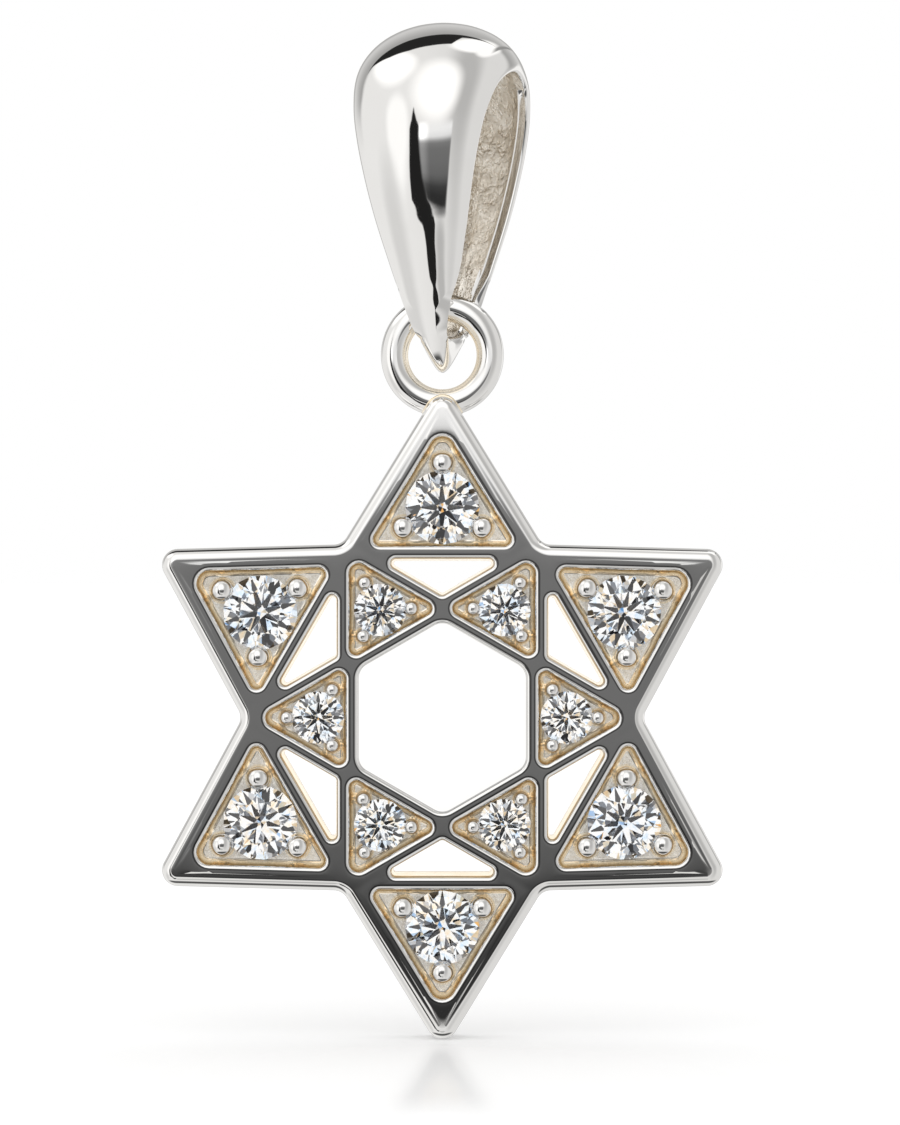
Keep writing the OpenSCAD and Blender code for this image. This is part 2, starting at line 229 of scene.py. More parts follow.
class Mesh:
    """Points in millimetres and faces with a material number each."""

    def __init__(self):
        self.points = []
        self.faces = []
        self.slots = []

    def add(self, points):
        start = len(self.points)
        self.points.extend([tuple(float(c) for c in p) for p in points])
        return start

    def face(self, corners, slot):
        self.faces.append(tuple(corners))
        self.slots.append(slot)

    def strips(self, loops, slot, closed=False):
        """Quads between loops of as many points each."""
        n = len(loops[0])
        starts = [self.add(loop) for loop in loops]
        pairs = list(zip(starts, starts[1:]))
        if closed:
            pairs.append((starts[-1], starts[0]))
        for a, b in pairs:
            for i in range(n):
                j = (i + 1) % n
                self.face((a + i, a + j, b + j, b + i), slot)

    def region(self, outer, holes, inner, height, slot, spots=()):
        """Region between the outer loop and the holes, through the inner loops and single spots."""
        loops = [outer] + holes + inner
        points, edges = [], []
        for loop in loops:
            start = len(points)
            points += [tuple(p) for p in loop]
            edges += [(start + i, start + (i + 1) % len(loop)) for i in range(len(loop))]
        points += [tuple(p) for p in spots]
        out = delaunay_2d_cdt(points, edges, [], 0, 1e-7)
        flat = np.array([tuple(p) for p in out[0]])
        tris = np.array([tuple(t) for t in out[2] if len(t) == 3])
        middle = flat[tris].mean(1)
        keep = inside(middle, np.asarray(outer))
        for hole in holes:
            keep &= ~inside(middle, np.asarray(hole))
        heights = height(flat)
        start = self.add(np.column_stack([flat, heights]))
        for t in tris[keep]:
            self.face([start + int(i) for i in t], slot)

    def build(self, name, place, materials, sharp=40):
        """A Blender object of it; place turns the points into the row frame."""
        mesh = bpy.data.meshes.new(name)
        points = place(np.array(self.points)) * MM
        mesh.from_pydata(points.tolist(), [], self.faces)
        mesh.polygons.foreach_set("material_index", self.slots)
        bm = bmesh.new()
        bm.from_mesh(mesh)
        bmesh.ops.remove_doubles(bm, verts=bm.verts, dist=WELD * MM)
        bmesh.ops.dissolve_degenerate(bm, edges=bm.edges, dist=WELD * MM)
        loose = [v for v in bm.verts if not v.link_faces]
        bmesh.ops.delete(bm, geom=loose, context="VERTS")
        bmesh.ops.recalc_face_normals(bm, faces=bm.faces)
        for f in bm.faces:
            f.smooth = True
        bm.to_mesh(mesh)
        bm.free()
        mesh.set_sharp_from_angle(angle=math.radians(sharp))
        obj = bpy.data.objects.new(name, mesh)
        bpy.context.scene.collection.objects.link(obj)
        for m in materials:
            mesh.materials.append(m)
        return obj


def lifted(loop, h):
    """The flat loop at height h."""
    return np.column_stack([loop, np.full(len(loop), h)])


def hung(points):
    """From the star's own plane, face up, to hanging with its face to -Y."""
    return np.column_stack([points[:, 0], -points[:, 2], points[:, 1] + STAR_Z])


# Materials

# The mesh value that tones the polish dark in a painted line of shade along the bevels, its tone, and the
# inputs of a colour mix
PAINTED_SHADE = "painted_shade"
PAINTED_SHADE_TONE = (0.20, 0.195, 0.19, 1.0)
MIX_UNDER = 6
MIX_OVER = 7
# Emission that stands in for light thrown back and forth in the cells
WALL_GLOW = 0.05
FLOOR_GLOW = 0.22


def feed(tree, socket, value):
    """Links the value to the socket, or sets it there."""
    if isinstance(value, bpy.types.NodeSocket):
        tree.links.new(value, socket)
    else:
        socket.default_value = value


def node(tree, kind, **inputs):
    """A new node with its inputs fed; a key names an input, or is i and its number."""
    n = tree.nodes.new(kind)
    for key, value in inputs.items():
        by_number = key[0] == "i" and key[1:].isdigit()
        feed(tree, n.inputs[int(key[1:])] if by_number else n.inputs[key.replace("_", " ")], value)
    return n


def maths(tree):
    """A function that adds a math node to the tree and gives its result."""

    def op(kind, a, b=0.0, c=0.0):
        n = tree.nodes.new("ShaderNodeMath")
        n.operation = kind
        for k, v in enumerate((a, b, c)):
            feed(tree, n.inputs[k], v)
        return n.outputs[0]

    return op


def eased(tree, v, a, b, to=(0.0, 1.0)):
    """From to[0] at a to to[1] at b, smooth between."""
    n = node(tree, "ShaderNodeMapRange", Value=v, From_Min=a, From_Max=b, To_Min=to[0], To_Max=to[1])
    n.interpolation_type = "SMOOTHSTEP"
    return n.outputs[0]


def blended(tree, factor, under, over, way="MIX"):
    """One colour laid over another."""
    n = tree.nodes.new("ShaderNodeMix")
    n.data_type = "RGBA"
    n.blend_type = way
    feed(tree, n.inputs["Factor"], factor)
    feed(tree, n.inputs[MIX_UNDER], under)
    feed(tree, n.inputs[MIX_OVER], over)
    return n.outputs[2]


def material(name):
    """A new material with its node tree, its shader and the object's own coordinates."""
    m = bpy.data.materials.new(name)
    m.use_nodes = True
    tree = m.node_tree
    tree.nodes.clear()
    out = tree.nodes.new("ShaderNodeOutputMaterial")
    shader = tree.nodes.new("ShaderNodeBsdfPrincipled")
    tree.links.new(shader.outputs[0], out.inputs[0])
    where = tree.nodes.new("ShaderNodeTexCoord").outputs["Object"]
    return m, tree, shader, where


def ramp(tree, fac, stops):
    """Colour ramp over fac; stops are (place, colour)."""
    n = tree.nodes.new("ShaderNodeValToRGB")
    tree.links.new(fac, n.inputs[0])
    while len(n.color_ramp.elements) < len(stops):
        n.color_ramp.elements.new(0.5)
    for e, (at, colour) in zip(n.color_ramp.elements, stops):
        e.position = at
        e.color = (*colour, 1)
    return n.outputs[0]


def metal(name, light, dark, rough, grain, cloud, bump=None):
    """Silver: colour between two tones by a soft cloud, roughness with fine variation, and a fine bump."""
    m, tree, shader, where = material(name)
    soft = node(tree, "ShaderNodeTexNoise", Vector=where, Scale=cloud, Detail=4.0, Roughness=0.6)
    colour = ramp(tree, soft.outputs[0], [(0.35, dark), (0.65, light)])
    tree.links.new(colour, shader.inputs["Base Color"])
    shader.inputs["Metallic"].default_value = 1.0
    fine = node(tree, "ShaderNodeTexNoise", Vector=where, Scale=grain, Detail=3.0, Roughness=0.7).outputs[0]
    varied = node(
        tree, "ShaderNodeMapRange", Value=fine, From_Min=0.3, From_Max=0.7, To_Min=rough[0], To_Max=rough[1]
    )
    tree.links.new(varied.outputs[0], shader.inputs["Roughness"])
    if bump:
        b = node(tree, "ShaderNodeBump", Strength=bump[0], Distance=bump[1], Height=fine)
        tree.links.new(b.outputs[0], shader.inputs["Normal"])
    return m, tree, shader, where


def silver():
    """Polished silver, toned dark by the mesh's painted shade value: a painted dark line of shade beside
    each bevel.
    """
    light, dark = (0.94, 0.935, 0.925), (0.92, 0.912, 0.90)
    m, tree, shader, _ = metal("silver", light, dark, rough=(0.02, 0.05), grain=9000.0, cloud=400.0)
    # Painted shade: a dark line along the bevels, laid over the base colour
    painted_shade = tree.nodes.new("ShaderNodeAttribute")
    painted_shade.attribute_name = PAINTED_SHADE
    base = shader.inputs["Base Color"]
    toned = blended(tree, painted_shade.outputs["Fac"], base.links[0].from_socket, PAINTED_SHADE_TONE)
    tree.links.new(toned, base)
    return m


def cell_silver():
    """Walls and posts in the cells: a painted warm shade that is darkest just under the face, and a painted
    glow.
    """
    light, dark = (1.0, 0.975, 0.92), (0.97, 0.91, 0.81)
    m, tree, shader, where = metal(
        "cell_silver", light, dark, rough=(0.06, 0.15), grain=16000.0, cloud=1500.0, bump=(0.25, 0.00001)
    )
    # Painted warm shade and reflection by depth, darkest just under the face; it also colours the glow
    depth = node(tree, "ShaderNodeSeparateXYZ", Vector=where).outputs["Y"]
    share = node(tree, "ShaderNodeMapRange", Value=depth, From_Min=-FACE_H * MM, From_Max=-FLOOR_H * MM)
    stops = [
        (0.05, (0.40, 0.30, 0.18)),
        (0.30, (0.60, 0.48, 0.32)),
        (0.60, (0.94, 0.86, 0.72)),
        (0.85, (1.0, 0.97, 0.92)),
    ]
    tone = ramp(tree, share.outputs[0], stops)
    warm = blended(tree, 1.0, shader.inputs["Base Color"].links[0].from_socket, tone, "MULTIPLY")
    for name in ("Base Color", "Specular Tint", "Emission Color"):
        tree.links.new(warm, shader.inputs[name])
    shader.inputs["Emission Strength"].default_value = WALL_GLOW
    shader.inputs["Metallic"].default_value = 0.95
    return m


def floor_silver():
    """Granular cast floor of the cells, with a painted glow of light thrown back and forth in them."""
    light, dark = (1.0, 0.995, 0.975), (0.80, 0.77, 0.71)
    m, tree, shader, _ = metal(
        "floor_silver", light, dark, rough=(0.14, 0.36), grain=26000.0, cloud=12000.0, bump=(1.0, 0.00005)
    )
    shader.inputs["Metallic"].default_value = 0.4
    tree.links.new(shader.inputs["Base Color"].links[0].from_socket, shader.inputs["Emission Color"])
    shader.inputs["Emission Strength"].default_value = FLOOR_GLOW
    return m


def cast_silver():
    """Rough, slightly toned inside of the bail."""
    light, dark = (0.95, 0.90, 0.82), (0.78, 0.71, 0.61)
    return metal(
        "cast_silver", light, dark, rough=(0.14, 0.42), grain=3500.0, cloud=1200.0, bump=(1.0, 0.0001)
    )[0]


def stone_glass():
    """Clear brilliant with faint painted patches of blue and amber fire in its colour."""
    m, tree, shader, where = material("clear_stone")
    tint = node(tree, "ShaderNodeTexNoise", Vector=where, Scale=2600.0, Detail=2.0, Roughness=0.5)
    stops = [
        (0.34, (0.62, 0.80, 1.0)),
        (0.44, (0.98, 0.99, 1.0)),
        (0.58, (1.0, 0.99, 0.97)),
        (0.68, (1.0, 0.80, 0.55)),
    ]
    tree.links.new(ramp(tree, tint.outputs[0], stops), shader.inputs["Base Color"])
    shader.inputs["Transmission Weight"].default_value = 1.0
    shader.inputs["IOR"].default_value = 2.15
    shader.inputs["Roughness"].default_value = 0.0
    return m


# The star


# Material slots of the star's meshes
POLISH = 0
WALLS = 1
FLOORS = 2


def pocket_corners():
    """Each opening as (corners, radii, lean, stone, wall slot); its stone is (at, d), or None."""
    side_a = 90 - TIP_HALF
    arm_side = TIP_R * sin(TIP_HALF) - RIM_W - WALL_LEAN
    arm = triangle(ARM_BASE_R + WALL_LEAN, arm_side, side_a)
    small = triangle(SMALL_BASE_R + WALL_LEAN, HEXAGRAM_R - BAR_HALF - WALL_LEAN, ARM_STEP)
    top_r = HEXAGON_R - BAR_HALF - DRAFT
    low_r = HEXAGRAM_R + BAR_HALF + DRAFT
    slim = [
        crossing(low_r, -ARM_STEP / 2, low_r, ARM_STEP / 2),
        crossing(low_r, ARM_STEP / 2, top_r, 0),
        crossing(low_r, -ARM_STEP / 2, top_r, 0),
    ]
    hub_side = HUB_R - BAR_HALF - DRAFT
    hub = [polar(hub_side / cos(ARM_STEP / 2), ARM_STEP * (i + 0.5)) for i in range(ARMS)]
    out = [(hub, [HUB_ROUND] * ARMS, DRAFT, None, POLISH)]
    for i in range(ARMS):
        arm_a, small_a = FIRST_ARM + ARM_STEP * i, FIRST_SMALL + ARM_STEP * i
        large_stone = (polar(LARGE_AT, arm_a), LARGE_D)
        small_stone = (polar(SMALL_AT, small_a), SMALL_D)
        arm_radii = [ARM_CELL_ROUND, CELL_ROUND, CELL_ROUND]
        small_radii = [CELL_ROUND * 2, CELL_ROUND, CELL_ROUND]
        out.append((list(turned(arm, arm_a)), arm_radii, WALL_LEAN, large_stone, WALLS))
        out.append((list(turned(slim, arm_a)), [SLIM_ROUND] * 3, DRAFT, None, WALLS))
        out.append((list(turned(small, small_a)), small_radii, WALL_LEAN, small_stone, WALLS))
    return out


# How the face falls off: a crown along the bars and a soft slope over the rim
CROWN_W = 0.095
CROWN_DROP = 0.0045
RIM_SLOPE = 0.03
RIM_START = 0.06
RIM_REACH = (0.45, 1.5)
SOFTNESS = 14.0
# How fine the meshes of the face and the floors are: their grids' steps, the space between rows and
# beside loops as shares of a step, extra loops beside the edges, steps of round corners and of seats
FACE_STEP = 0.075
FLOOR_STEP = 0.045
HOLE_LOOPS = (0.02, 0.045, 0.075)
EDGE_LOOPS = (0.05, 0.1)
ROW_SHARE = 0.87
CLEAR_SHARE = 0.5
CORNER_N = 8
SEAT_N = 48
# The bead along the rim is a quarter round that ends at BEAD_END degrees
BEAD_W = 0.35
BEAD_END = 86
BEAD_STEPS = 14
BACK_STEPS = 4
# The bevel's round runs from and to these angles
BEVEL_FROM = 14
BEVEL_TO = 76
BEVEL_STEPS = 3
BACK_CHAMFER = 0.05
FILLET = 0.05
SEAT_CHAMFER = 0.04
# Rough relief of the floors: grain size, height and the way in from their edges
GRAIN_SIZE = 0.085
GRAIN_H = 0.03
GRAIN_SEED = 3.1
GRAIN_DEEP = 0.37
GRAIN_FINER = 2.3
GRAIN_FADE = 0.05
BALL_SWELL = 1.07
OPENINGS = pocket_corners()


def opening(o, grow):
    """Outline of an opening, made wider by grow."""
    return rounded(o[0], o[1], -grow, CORNER_N)


FACE_HOLES = [opening(o, o[2] + BEVEL_W) for o in OPENINGS]
EDGE_INSET = BEAD_W * (1 - cos(BEAD_END))
FACE_EDGE = star_outline(EDGE_INSET)
# The painted dark line of shade, by its distance from a bevel; what lies deeper than its reach has none
PAINTED_SHADE_AT = [0.0, 0.02, 0.045, 0.075]
PAINTED_SHADE_DEPTH = [0.0, 1.0, 0.8, 0.0]
PAINTED_SHADE_REACH = 0.2


def face_height(points):
    """The polished face: every bar is a little crowned and the rim falls off towards the outline."""
    away = np.array([distance(points, h) for h in FACE_HOLES])
    d_in = away.min(0)
    soft_in = -np.log(np.exp(-SOFTNESS * (away - d_in)).sum(0)) / SOFTNESS + d_in
    d_out = distance(points, FACE_EDGE)
    crown = CROWN_DROP * np.clip(1 - d_in / CROWN_W, 0, 1) ** 2
    near = np.clip((RIM_REACH[1] - d_out) / (RIM_REACH[1] - RIM_REACH[0]), 0, 1)
    near = near * near * (3 - 2 * near)
    run = soft_in - RIM_START
    fall = RIM_SLOPE * np.clip(run, 0, None) ** 2 * near
    return FACE_H - crown - fall


def circle(at, r, n=SEAT_N):
    return np.array([at + polar(r, 360 * i / n) for i in range(n)])


def seat_r(d, h):
    """Radius of a stone's conical seat at height h."""
    table_h = FACE_H + TABLE_PROUD
    top = table_h - d * (CROWN_SHARE + GIRDLE_SHARE) - STONE_GAP / 2
    low = table_h - d * (CROWN_SHARE + GIRDLE_SHARE + PAVILION_SHARE) - STONE_GAP * 1.5
    return (d / 2 + STONE_GAP) * (h - low) / (top - low)


def grain(points, size, amount, seed):
    """Seeded rough relief over points in millimetres."""
    out = []
    for p in points:
        u, v, w = p[0] / size + seed, p[1] / size - seed, seed * GRAIN_DEEP
        finer = noise.noise((u * GRAIN_FINER, v * GRAIN_FINER, w))
        out.append(noise.noise((u, v, w)) + 0.5 * finer)
    return amount * np.array(out)


def spread(outer, loops, step):
    """Points of an even grid in the outer loop that keep clear of all the loops."""
    low, high = outer.min(0), outer.max(0)
    grid = np.array(
        [
            (x + (0.5 * step if j % 2 else 0), y)
            for j, y in enumerate(np.arange(low[1], high[1], step * ROW_SHARE))
            for x in np.arange(low[0], high[0], step)
        ]
    )
    grid = grid[inside(grid, outer)]
    for loop in loops:
        grid = grid[distance(grid, loop) > step * CLEAR_SHARE]
    return grid


def face_spots(inner):
    """Grid points of the face outside its holes."""
    grid = spread(FACE_EDGE, [FACE_EDGE] + inner, FACE_STEP)
    for hole in FACE_HOLES:
        grid = grid[~inside(grid, hole)]
    return grid


def rim_bead():
    """Loops from the face's edge over the rounded shoulder and down the side to the back."""
    top = SHOULDER_H - (FACE_H - face_height(FACE_EDGE))
    loops = []
    for i in range(BEAD_STEPS + 1):
        a = BEAD_END * (1 - i / BEAD_STEPS)
        rise = top * sin(a) / sin(BEAD_END)
        loops.append(np.column_stack([star_outline(BEAD_W * (1 - cos(a))), FACE_H - SHOULDER_H + rise]))
    for i in range(BACK_STEPS + 1):
        a = 90 * i / BACK_STEPS
        inset, up = BACK_ROUND * (1 - cos(a)), BACK_ROUND * (1 - sin(a))
        loops.append(lifted(star_outline(inset), -FACE_H + up))
    return loops


def bevel(o, hole):
    """Loops of the rounded bevel from the face into an opening."""
    top = face_height(hole)
    loops = []
    for i in range(BEVEL_STEPS + 1):
        a = BEVEL_FROM + (BEVEL_TO - BEVEL_FROM) * i / BEVEL_STEPS
        in_share = (sin(a) - sin(BEVEL_FROM)) / (sin(BEVEL_TO) - sin(BEVEL_FROM))
        down_share = (cos(BEVEL_FROM) - cos(a)) / (cos(BEVEL_FROM) - cos(BEVEL_TO))
        heights = top - (top - FACE_H + BEVEL_H) * down_share
        loops.append(np.column_stack([opening(o, o[2] + BEVEL_W * (1 - in_share)), heights]))
    return loops


def wall(o, low, shares):
    """Loops down an opening's leaning wall, from under the bevel towards the height low."""
    return [
        lifted(opening(o, o[2] * (1 - t)), (FACE_H - BEVEL_H) * (1 - t) + low * t)
        for t in shares
    ]


def star_plate(materials):
    """The plate with its rim, cells, openings, stone seats and plain back."""
    mesh = Mesh()
    mesh.strips(rim_bead(), POLISH)
    inner = [opening(o, o[2] + BEVEL_W + t) for o in OPENINGS for t in HOLE_LOOPS]
    inner += [star_outline(EDGE_INSET + t) for t in EDGE_LOOPS]
    mesh.region(FACE_EDGE, FACE_HOLES, inner, face_height, POLISH, face_spots(inner))
    back_holes = []
    for k, o in enumerate(OPENINGS):
        mesh.strips(bevel(o, FACE_HOLES[k]), POLISH)
        if o[3] is None:
            rows = wall(o, -FACE_H + BACK_CHAMFER, (0.0, 0.25, 0.5, 0.75, 1.0))
            rows.append(lifted(opening(o, BACK_CHAMFER * 0.3), -FACE_H + BACK_CHAMFER * 0.3))
            rows.append(lifted(opening(o, BACK_CHAMFER), -FACE_H))
            mesh.strips(rows, o[4])
            back_holes.append(opening(o, BACK_CHAMFER))
            continue
        rows = wall(o, FLOOR_H + FILLET, (0.0, 0.3, 0.6, 0.9))
        rows.append(lifted(opening(o, 0.0), FLOOR_H + FILLET * 0.6))
        rows.append(lifted(opening(o, -FILLET * 0.3), FLOOR_H + FILLET * 0.15))
        rows.append(lifted(opening(o, -FILLET), FLOOR_H))
        mesh.strips(rows, o[4])
        at, d = o[3]
        hole = circle(at, seat_r(d, FLOOR_H))
        rim = opening(o, -FILLET)
        grid = spread(rim, [rim, hole], FLOOR_STEP)
        grid = grid[~inside(grid, hole)]

        def floor_height(points, k=k, rim=rim, hole=hole):
            d_edge = np.minimum(distance(points, rim), distance(points, hole))
            mask = np.clip(d_edge / GRAIN_FADE, 0, 1)
            return FLOOR_H + mask * grain(points, GRAIN_SIZE, GRAIN_H, GRAIN_SEED + k)

        mesh.region(rim, [hole], [], floor_height, FLOORS, grid)
        through = circle(at, d / 2 - BEARING_W)
        behind = circle(at, d / 2 - BEARING_W + SEAT_CHAMFER)
        bearing = lifted(circle(at, seat_r(d, 0.0)), 0.0)
        mesh.strips([lifted(hole, FLOOR_H), bearing], POLISH)
        bore = [lifted(through, 0.0), lifted(through, -FACE_H + SEAT_CHAMFER), lifted(behind, -FACE_H)]
        mesh.strips([bearing] + bore, POLISH)
        back_holes.append(behind)
    back = star_outline(BACK_ROUND)
    mesh.region(back, back_holes, [], lambda p: np.full(len(p), -FACE_H), POLISH)
    plate = mesh.build("star_plate", hung, materials)
    paint_bevel_shade(plate.data)
    return plate


def paint_bevel_shade(mesh):
    """Painted shade value, a dark line along the bevels, on the face alone."""
    co = np.array([v.co for v in mesh.vertices]) / MM
    flat = np.column_stack([co[:, 0], co[:, 2] - STAR_Z])
    face = -co[:, 1] > FACE_H - PAINTED_SHADE_REACH
    value = np.zeros(len(co))
    for hole in FACE_HOLES:
        d = np.where(face & ~inside(flat, hole), distance(flat, hole), 1.0)
        value = np.maximum(value, np.interp(d, PAINTED_SHADE_AT, PAINTED_SHADE_DEPTH))
    mesh.attributes.new(PAINTED_SHADE, "FLOAT", "POINT").data.foreach_set("value", value)


def stone_r(d, h):
    """Radius of a stone's outside at height h."""
    table_h = FACE_H + TABLE_PROUD
    girdle = table_h - d * CROWN_SHARE
    under = girdle - d * GIRDLE_SHARE
    culet = under - d * PAVILION_SHARE
    if h > table_h or h < culet:
        return 0.0
    if h > girdle:
        return d / 2 - (h - girdle) / (table_h - girdle) * (1 - TABLE_SHARE) * d / 2
    if h > under:
        return d / 2
    return d / 2 * (h - culet) / (under - culet)


# Angle on a prong's ball at which its post begins, and the least gap between a prong and its stone
NECK_A = -40
STONE_CLEAR = 0.012
BALL_POINTS = 18
LARGE_SIDES = 32
SMALL_SIDES = 28


def post_profile(foot, neck_r, neck_h):
    """Radius and height from the flared foot up to the ball's neck."""
    return [
        (foot + 0.05, FLOOR_H - 0.02),
        (foot + 0.03, FLOOR_H + 0.015),
        (foot + 0.005, FLOOR_H + 0.05),
        (foot - 0.01, FLOOR_H + 0.12),
        (foot - 0.015, (FLOOR_H + neck_h) / 2),
        (foot - 0.02, neck_h - 0.05),
        (foot - 0.035, neck_h - 0.015),
        (neck_r + 0.012, neck_h),
        (neck_r, neck_h + 0.012),
    ]


def prongs(materials):
    """Thirty six prongs: a flared foot, a post and a ball that is notched for the stone."""
    mesh = Mesh()
    sets = [
        (LARGE_BEAD_D, LARGE_D, LARGE_GRIP, LARGE_AT, FIRST_ARM, LARGE_SIDES),
        (SMALL_BEAD_D, SMALL_D, SMALL_GRIP, SMALL_AT, FIRST_SMALL, SMALL_SIDES),
    ]
    for d, stone_d, grip, at, first, sides in sets:
        r = d / 2 * BALL_SWELL
        girdle = FACE_H + TABLE_PROUD - stone_d * CROWN_SHARE
        ball_h = girdle + d * BEAD_RISE - (r - d / 2)
        neck_r = r * cos(NECK_A)
        neck_h = ball_h + r * sin(NECK_A)
        post = post_profile(r + FOOT_EXTRA / 2, neck_r, neck_h)
        ball = [(r * cos(a), ball_h + r * sin(a)) for a in np.linspace(NECK_A + 3, 90, BALL_POINTS)]
        ball[-1] = (0.0, ball_h + r)
        reach = (stone_d + d) / 2 - grip
        for i in range(ARMS):
            turn = first + ARM_STEP * i
            axis = polar(at, turn)
            for a in (0, PRONG_TURN, -PRONG_TURN):
                middle = axis + polar(reach, turn + a)
                for profile, slot in ((post, WALLS), ([post[-1]] + ball, POLISH)):
                    rows = []
                    for pr, ph in profile:
                        ring = circle(middle, max(pr, 1e-5), sides)
                        away = ring - axis
                        length = np.linalg.norm(away, axis=1)
                        stone = stone_r(stone_d, ph)
                        least = stone + STONE_CLEAR if stone > 0 else 0.0
                        pushed = axis + away / length[:, None] * least
                        ring = np.where((length < least)[:, None], pushed, ring)
                        rows.append(lifted(ring, ph))
                    mesh.strips(rows, slot)
    return mesh.build("prongs", hung, materials, sharp=60)


# The ring is warm toned inside, with the cells' painted glow, over this share of the wire's round to either
# side
RING_INNER_SHARE = 0.15
RING_STEPS = 120
WIRE_SIDES = 40
# The solder's bead: its radius, how it varies, and the part of the star's outline that it lies on
SOLDER_R = 0.06
SOLDER_VARIES = 0.02
SOLDER_GRAIN = 4
SOLDER_END_R = 0.001
SOLDER_SIDES = 12
SOLDER_STEP = 0.02
SOLDER_HALF_W = 1.2
SOLDER_FROM = 8
SOLDER_REACH = 0.985


def ring_piece(materials):
    """The soldered ring with its collar of solder round the star's top point."""
    mesh = Mesh()
    rows = []
    for i in range(RING_STEPS):
        a = 360 * i / RING_STEPS
        row = []
        for j in range(WIRE_SIDES):
            b = 360 * j / WIRE_SIDES
            out = RING_R + WIRE_R * cos(b)
            row.append((out * cos(a), WIRE_R * sin(b), RING_Z + out * sin(a)))
        rows.append(row)
    mesh.strips(rows, POLISH, closed=True)
    for k in range(len(mesh.faces)):
        if abs((k % WIRE_SIDES + 0.5) / WIRE_SIDES - 0.5) < RING_INNER_SHARE:
            mesh.slots[k] = WALLS
    solder(mesh)
    return mesh.build("soldered_ring", lambda p: p, materials, sharp=60)


def solder(mesh):
    """A thin uneven fillet of solder where the wire meets the star's top point, front and back."""
    outline = dense(star_outline(0.0), SOLDER_STEP)
    outline = outline[np.abs(outline[:, 0]) < SOLDER_HALF_W]
    outline = outline[outline[:, 1] > SOLDER_FROM]
    outline = outline[np.argsort(outline[:, 0])]
    for way in (-1, 1):
        path = []
        for x, v in outline:
            z = v + STAR_Z
            e = math.hypot(x, z - RING_Z) - RING_R
            if abs(e) < WIRE_R * SOLDER_REACH:
                path.append((x, way * math.sqrt(WIRE_R**2 - e * e), z))
        path = np.array(path)
        rows = []
        for i, p in enumerate(path):
            along = unit(path[min(i + 1, len(path) - 1)] - path[max(i - 1, 0)])
            side = unit(np.cross(along, (0, 1, 0)))
            up = np.cross(side, along)
            r = SOLDER_R + SOLDER_VARIES * noise.noise((p[0] * SOLDER_GRAIN, p[2] * SOLDER_GRAIN, way))
            if i in (0, len(path) - 1):
                r = SOLDER_END_R
            turns = [2 * math.pi * j / SOLDER_SIDES for j in range(SOLDER_SIDES)]
            rows.append([p + r * (side * math.cos(a) + up * math.sin(a)) for a in turns])
        # The solder takes the cells' material, with its painted warm tone and glow
        mesh.strips(rows, WALLS)


# The bail

# Rows round the loop as shares of the sizes above, the same as in the solids' source: at the ring's
# seat (angle, clearance, half width, dome, bulge), up the leg (height, out, half width, dome, hollow)
SEAT_ROWS = [
    (0, 1.00, 0.190, 0.97, 1.00),
    (45, 1.15, 0.266, 0.26, 0.25),
    (90, 1.08, 0.380, 0.29, 0.00),
]
LEG_ROWS = [
    (0.17, 0.198, 0.209, 0.098, 0.10),
    (0.30, 0.229, 0.264, 0.134, 0.45),
    (0.44, 0.268, 0.316, 0.165, 0.62),
    (0.59, 0.297, 0.364, 0.200, 0.68),
    (0.73, 0.300, 0.408, 0.234, 0.70),
    (0.85, 0.268, 0.446, 0.262, 0.72),
    (0.95, 0.175, 0.480, 0.284, 0.73),
]
# Material slot of the bail's inside
CAST = 1
BAIL_STEPS = 9
OUTER_POINTS = 44
INNER_POINTS = 28
LEAST_INNER = 0.3
# The rims' round: its angles, its radius, its share of the wall, and how much more both are at the
# seat, towards which they grow from SOFT_Z over SOFT_OVER
RIM_TURN = (30, 60, 90)
RIM_ROUND = 0.1
RIM_ROUND_MORE = 0.2
RIM_SHARE = 0.3
RIM_SHARE_MORE = 0.55
SOFT_Z = -6.4
SOFT_OVER = 0.8
# Limits of that round where the dome or the hollow is shallow
DOME_SHARE = 0.9
HOLLOW_SHARE = 0.5
FIRST_SINE = 0.9
LEAST_ROUND = 0.004
LEAST_HOLLOW = 0.02
# Rough cast relief of the inside as (height, size): coarse and fine; a ridge along its middle
COARSE = (0.07, 0.6)
FINE = (0.022, 0.24)
RIDGE_H = 0.09
# The relief fades out over FADE_POINTS at the rims, and down to FADE_Z over FADE_OVER at the seat
FADE_POINTS = 4
FADE_Z = -7.2
FADE_OVER = 1.2


def loop_rows():
    """Each row as (out, up, half width, dome, hollow), once round the loop."""
    rows = []
    for a, clear, half, dome, bulge in SEAT_ROWS:
        r = WIRE_R + (clear * LEG_GAP if a > 0 else SEAT_GAP + SADDLE_DROP)
        s, c = sin(a), cos(a)
        deep = dome * (SEAT_THICK - SADDLE_DROP)
        rows.append((r * s, HANG_Z - r * c, half * RING_HOLE_D, deep, -bulge * SADDLE_DROP))
    for up, out, half, dome, hollow in LEG_ROWS:
        deep = dome * BAIL_D
        inner = min(hollow * deep, deep - BAIL_WALL)
        rows.append((out * BAIL_D, SEAT_Z * (1 - up), half * BAIL_W, deep, inner))
    rows.append((0.0, 0.0, BAIL_W / 2, CROWN_H, CROWN_H - BAIL_WALL))
    back = [(-r[0], *r[1:]) for r in rows[-2:0:-1]]
    return np.array(rows + back)


def smooth(a, b, c, d, t):
    """Point at share t between b and c on a smooth curve through a, b, c and d."""
    return (2 * b + (c - a) * t + (2 * a - 5 * b + 4 * c - d) * t * t + (3 * b - a - 3 * c + d) * t**3) / 2


